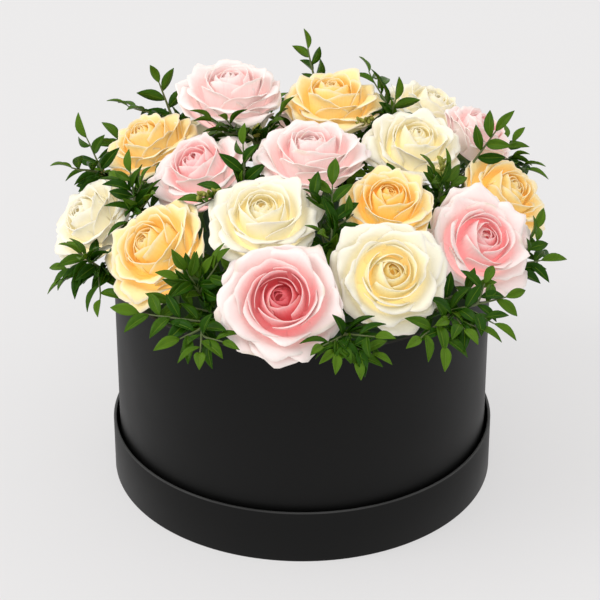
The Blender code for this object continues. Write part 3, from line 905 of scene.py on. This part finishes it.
def stalk(points, radii, roundness=2):
    """A smooth round stalk through the points, as a closed mesh."""
    bpy.ops.curve.primitive_bezier_curve_add()
    made = bpy.context.object
    curve = made.data
    line = curve.splines[0]
    line.bezier_points.add(len(points) - 2)
    for corner, place, radius in zip(line.bezier_points, points, radii):
        corner.co = place
        corner.radius = radius
        corner.handle_left_type = corner.handle_right_type = "AUTO"
    line.resolution_u = 3
    curve.bevel_depth = 1.0
    curve.bevel_resolution = roundness
    curve.use_fill_caps = True
    pick(made)
    bpy.ops.object.convert(target="MESH")
    bpy.ops.object.transform_apply()
    mark(made, "tone", 0.0)
    mark(made, "draw", 0.5)
    return made


def leaf_blank():
    """A leaf one unit long and wide, from its root at the origin along Y, folded a little and drooping."""
    bpy.ops.mesh.primitive_grid_add(x_subdivisions=4, y_subdivisions=7, size=2)
    leaf = bpy.context.object
    flat = points_of(leaf)
    u, v = flat[:, 0], (flat[:, 1] + 1) / 2
    width = np.sin(np.pi * np.clip(v, 0, 1) ** 0.93) ** 0.9 + 0.02
    x = u * width / 2
    z = 0.22 * np.abs(x) + 0.05 * np.sin(np.pi * v) - 0.12 * v ** 2
    move_points(leaf, np.stack([x, v, z], axis=-1))
    return leaf


def laid(blank, root, direction, facing, length, width, tone, draw):
    """A copy of the leaf with its root here, running one way and facing another."""
    leaf = copy_of(blank)
    direction, facing = unit(direction), np.array(facing)
    side = unit(np.cross(direction, facing))
    facing = np.cross(side, direction)
    rows = np.array([side * length * width, direction * length, facing * length])
    move_points(leaf, points_of(leaf) @ rows + root)
    mark(leaf, "tone", tone)
    mark(leaf, "draw", draw)
    return leaf


def stem_foot(place):
    """Where a stem under this place enters the foam."""
    return np.array([place[0] * FOOT_SHARE, place[1] * FOOT_SHARE, FOAM_TOP])


def foam_direction(axis):
    """The way a stem stands in the foam: nearly upright, leaning a little with the bloom."""
    return unit(mix(np.array([0.0, 0.0, 1.0]), axis, FOAM_LEAN))


def rose_stem(rose, blank):
    """Hip, stem and sepals of one rose, down into the foam."""
    top = rose.base - rose.axis * 0.0003
    foot = stem_foot(rose.base)
    upright = foam_direction(rose.axis)
    points = [top - rose.axis * down for down, _ in HIP]
    radii = [share * rose.size for _, share in HIP]
    start = top - rose.axis * HIP_LENGTH
    leave = foot + upright * STRAIGHT_ABOVE_FOAM
    reach = np.linalg.norm(start - leave)
    first, second = start - rose.axis * reach * 0.35, leave + upright * reach * 0.35
    for share in (0.0, 0.35, 0.7, 1.0):
        points.append(curve_point(start, first, second, leave, share))
        radii.append(STEM_RADIUS)
    points.append(foot - upright * STEM_IN_FOAM)
    radii.append(STEM_RADIUS)
    pieces = [stalk(points, radii, 3)]
    for index in range(SEPALS):
        angle = 2 * math.pi * (index + 0.5) / SEPALS + math.radians(rose.turn)
        outward = np.array([math.cos(angle), math.sin(angle), 0]) @ rose.frame
        root = top + outward * rose.size * 0.05 - rose.axis * rose.size * 0.08
        way, facing = outward - rose.axis * 0.25, rose.axis - outward * 0.25
        pieces.append(laid(blank, root, way, facing, rose.size * 0.55, 0.30, 0.2, index / SEPALS))
    return joined(f"rose_stem_{rose.number:02d}", pieces)


class ROSEBOX_OT_stems(bpy.types.Operator):
    """Model the rose stems with their hips and sepals"""

    bl_idname = "rosebox.stems"
    bl_label = "Rose Stems"

    def execute(self, context):
        looks = context.scene.rose_box_leaves
        skin = stem_finish("rose_stem", looks.stem)
        blank = leaf_blank()
        for rose in ROSES:
            give(rose_stem(rose, blank), skin, f"stem_{rose.number:02d}")
        bpy.data.objects.remove(blank)
        return {"FINISHED"}


def shoot_line(start, leaving, tip, joints=SHORT_SHOOT):
    """The points of a shoot, which leaves one way and settles towards its tip."""
    way = tip - start
    reach = np.linalg.norm(way)
    return [curve_point(start, start + leaving * reach * SHOOT_HANDLE, tip - way * SHOOT_HANDLE, tip, share)
            for share in np.linspace(0, 1, joints)]


def on_line(line, share):
    """The place at this share of a line's joints, and the way the line runs there."""
    joint = min(int(share * (len(line) - 1)), len(line) - 2)
    way = line[joint + 1] - line[joint]
    return line[joint] + way * (share * (len(line) - 1) - joint), unit(way)


def tree_of(piece):
    """A piece's faces, ready to be tested for crossings."""
    mesh = piece.data
    return BVHTree.FromPolygons([v.co for v in mesh.vertices], [p.vertices for p in mesh.polygons])


def side_shoots(line, draw):
    """Two short shoots that leave a long one on either side, in its own flat plane."""
    shoots = []
    for share, side in SIDE_SHOOTS:
        start, ahead = on_line(line, share)
        reach = np.linalg.norm(line[-1] - line[0]) * draw.uniform(0.42, 0.56)
        across = unit(np.cross(ahead, face_of(start, ahead)))
        way = unit(ahead + side * across * draw.uniform(0.8, 1.1))
        shoots.append(shoot_line(start, unit(ahead + way), start + way * reach))
    return shoots


def face_of(place, ahead):
    """The way the leaves of a shoot face: up and outward, square to the shoot."""
    outward = np.array([place[0], place[1], 0.0])
    wanted = np.array([0.0, 0.0, 1.0]) + OUTWARD_FACING * outward / np.linalg.norm(outward)
    return unit(wanted - ahead * (wanted @ ahead))


def side_twig(line):
    return stalk(line, np.linspace(0.7, 0.35, len(line)) * TWIG_RADIUS)


def is_clear(piece, taken):
    """Whether a piece crosses none of the taken ones."""
    own = tree_of(piece)
    return not any(own.overlap(other) for other in taken)


def leaves_on(line, blank, looks, draw, taken):
    """Leaves along one shoot, to its left and right in turn, each rolled until it is clear of the blooms."""
    count = max(3, round(np.linalg.norm(line[-1] - line[0]) / looks.spacing))
    leaves = []
    for k in range(count + 1):
        share = mix(0.10, 0.99, k / count)
        root, ahead = on_line(line, share)
        face = face_of(root, ahead)
        across = np.cross(ahead, face) * (1 if k % 2 else -1)
        spread = mix(*LEAF_SPREAD, share) + draw.uniform(-10, 10) if k < count else LAST_SPREAD
        spread = math.radians(spread)
        length = looks.length * mix(1.0, 0.80, share) * draw.uniform(0.82, 1.1)
        for trial in range(LEAF_TRIALS):
            roll = draw.uniform(-0.35, 0.45) + (trial + 1) // 2 * (-1) ** trial * LEAF_ROLL
            away = across * math.cos(roll) + face * math.sin(roll)
            direction = ahead * math.cos(spread) + away * math.sin(spread)
            facing = face * math.cos(roll) - across * math.sin(roll)
            leaf = laid(blank, root, direction, facing, length, looks.width * draw.uniform(0.85, 1.1),
                        0.6 * share ** 2 + draw.uniform(-0.15, 0.15), draw.random())
            if is_clear(leaf, taken):
                leaves.append(leaf)
                break
            bpy.data.objects.remove(leaf)
    return leaves


def fillers(place, rise):
    """Three ways for short low shoots, which fill the room under the blooms."""
    outward = unit(np.array([place[0], place[1], 0.0]))
    aside = np.cross([0.0, 0.0, 1.0], outward)
    return [unit(FILLER_RISE * rise + way) for way in (aside, -aside, -outward)]


def bud_blank():
    """A closed bud one unit long, from its root at the origin along Y."""
    bpy.ops.mesh.primitive_ico_sphere_add(subdivisions=2, radius=0.5)
    bud = bpy.context.object
    ball = points_of(bud)
    slim = BUD_WIDTH * (1 - 0.5 * ball[:, 1:2])
    move_points(bud, np.hstack([ball[:, :1] * slim, ball[:, 1:2] + 0.45, ball[:, 2:] * slim]))
    return bud


def buds_on(line, blank, draw):
    """A loose cluster of buds round the end of a shoot."""
    buds = []
    for k in range(BUDS):
        root, ahead = on_line(line, mix(0.6, 0.99, k / (BUDS - 1)))
        across = unit(np.cross(ahead, [0.3, 0.2, 1.0]))
        away = across * math.cos(k * GOLDEN_ANGLE) + np.cross(across, ahead) * math.sin(k * GOLDEN_ANGLE)
        way = unit(ahead + away * draw.uniform(0.5, 1.6))
        buds.append(laid(blank, root, way, across + 0.1, BUD_LENGTH * draw.uniform(0.7, 1.2), 1.0, 0.0, 0.5))
    return buds


def spray(plan, blank, bud_shape, looks, taken):
    """One leafy branch: its leaves, its twigs out of the foam and, where it has any, its buds."""
    draw = random.Random(plan.name)
    fork = np.array(plan.fork) * MM
    foot = stem_foot(fork)
    rise = unit(fork - foot)
    upright = foam_direction(rise)
    lines = [shoot_line(fork, rise, np.array(tip) * MM, LONG_SHOOT) for tip in plan.tips]
    arch = mix(foot, fork, 0.5) + np.array([0, 0, TWIG_ARCH])
    low = [foot - upright * STEM_IN_FOAM, foot + upright * STRAIGHT_ABOVE_FOAM, arch]
    radii = [TWIG_RADIUS] * len(low)
    radii += [TWIG_RADIUS * mix(1, 0.4, share) for share in np.linspace(0, 1, LONG_SHOOT)]
    stalks = [stalk(low + lines[0], radii)]
    bud_lines = [shoot_line(fork, rise, np.array(place) * MM) for place in plan.buds]
    lines += [shoot for line in lines[:plan.branching] for shoot in side_shoots(line, draw)]
    for way in fillers(arch, rise):
        lines.append(shoot_line(arch, rise, arch + way * FILLER_REACH))
    leafy = [lines[0], shoot_line(arch, unit(fork - arch), fork)]
    for line in lines[1:]:
        twig = side_twig(line)
        if is_clear(twig, taken):
            stalks.append(twig)
            leafy.append(line)
        else:
            bpy.data.objects.remove(twig)
    stalks += [side_twig(line) for line in bud_lines]
    leaves = [leaf for line in leafy for leaf in leaves_on(line, blank, looks, draw, taken)]
    made = [thickened(joined(plan.name + "_leaves", leaves), LEAF_THICKNESS),
            joined(plan.name + "_twigs", stalks)]
    buds = [bud for line in bud_lines for bud in buds_on(line, bud_shape, draw)]
    if buds:
        made.append(joined(plan.name + "_buds", buds))
    return made


class ROSEBOX_OT_sprays(bpy.types.Operator):
    """Model the leafy sprays between the blooms"""

    bl_idname = "rosebox.sprays"
    bl_label = "Leafy Sprays"

    def execute(self, context):
        looks = context.scene.rose_box_leaves
        skins = leaf_finish(looks), stem_finish("twig_bark", looks.twig), stem_finish("young_bud", looks.bud)
        blank, bud_shape = leaf_blank(), bud_blank()
        taken = [tree_of(frame["nodes"][rose.node]) for rose in ROSES]
        made = bpy.data.objects
        taken += [tree_of(made[rose.looks_name]) for rose in ROSES if rose.looks_name in made]
        for plan in SPRAYS:
            for piece, skin in zip(spray(plan, blank, bud_shape, looks, taken), skins):
                give(piece, skin, "spray_" + plan.name)
        for shape in (blank, bud_shape):
            bpy.data.objects.remove(shape)
        return {"FINISHED"}


# Stage

def soft_light(name, place, target, size, power):
    """A large square light at a place, turned to a target."""
    bpy.ops.object.light_add(type="AREA", location=place)
    light = bpy.context.object
    light.name = name
    light.data.shape = "SQUARE"
    light.data.size = size
    light.data.energy = power
    light.rotation_euler = (Vector(target) - Vector(place)).to_track_quat("-Z", "Y").to_euler()
    return light


class ROSEBOX_OT_stage(bpy.types.Operator):
    """Set up the floor, the lights and the camera"""

    bl_idname = "rosebox.stage"
    bl_label = "Stage"

    def execute(self, context):
        looks = context.scene.rose_box_stage
        scene = context.scene
        bpy.ops.mesh.primitive_plane_add(size=FLOOR_SIZE)
        floor = context.object
        floor.name = "floor"
        floor.data.materials.append(floor_finish(looks))
        soft_light("key", KEY_PLACE, KEY_TARGET, KEY_SIZE, looks.key)
        world = bpy.data.worlds.new("daylight")
        world.use_nodes = True
        sky = world.node_tree.nodes["Background"]
        sky.inputs["Color"].default_value = (1, 1, 1, 1)
        sky.inputs["Strength"].default_value = looks.daylight
        scene.world = world
        back = Vector((0, -math.cos(looks.elevation), math.sin(looks.elevation)))
        bpy.ops.object.camera_add(location=CAMERA_TARGET + back * looks.distance,
                                  rotation=(math.pi / 2 - looks.elevation, 0, 0))
        camera = context.object
        camera.data.lens = looks.lens
        camera.data.sensor_width = SENSOR_WIDTH
        scene.camera = camera
        scene.view_settings.view_transform = "Standard"
        return {"FINISHED"}


# Panel and registration

class ROSEBOX_PT_panel(bpy.types.Panel):
    """The steps that dress the rose box, in order"""

    bl_idname = "ROSEBOX_PT_panel"
    bl_label = "Rose Box"
    bl_space_type = "VIEW_3D"
    bl_region_type = "UI"
    bl_category = "Rose Box"

    def draw(self, context):
        for holder, operators in STEPS:
            box = self.layout.box()
            looks = getattr(context.scene, holder)
            for name in looks.__annotations__:
                box.prop(looks, name)
            for operator in operators:
                box.operator(operator.bl_idname)


LOOKS = {
    "rose_box_box": BoxLooks,
    "rose_box_blooms": BloomLooks,
    "rose_box_leaves": LeafLooks,
    "rose_box_stage": StageLooks,
}
STEPS = (
    ("rose_box_box", (ROSEBOX_OT_box, ROSEBOX_OT_foam)),
    ("rose_box_blooms", (ROSEBOX_OT_blooms,)),
    ("rose_box_leaves", (ROSEBOX_OT_stems, ROSEBOX_OT_sprays)),
    ("rose_box_stage", (ROSEBOX_OT_stage,)),
)
CLASSES = (*LOOKS.values(), ROSEBOX_OT_box, ROSEBOX_OT_foam, ROSEBOX_OT_blooms, ROSEBOX_OT_stems,
           ROSEBOX_OT_sprays, ROSEBOX_OT_stage, ROSEBOX_PT_panel)


def register():
    for one in CLASSES:
        bpy.utils.register_class(one)
    for holder, looks in LOOKS.items():
        setattr(bpy.types.Scene, holder, PointerProperty(type=looks))


def unregister():
    for holder in LOOKS:
        delattr(bpy.types.Scene, holder)
    for one in reversed(CLASSES):
        bpy.utils.unregister_class(one)


def main():
    register()
    bpy.ops.rosebox.box()
    bpy.ops.rosebox.foam()
    bpy.ops.rosebox.blooms()
    bpy.ops.rosebox.stems()
    bpy.ops.rosebox.sprays()
    bpy.ops.rosebox.stage()


if __name__ == "__main__":
    main()
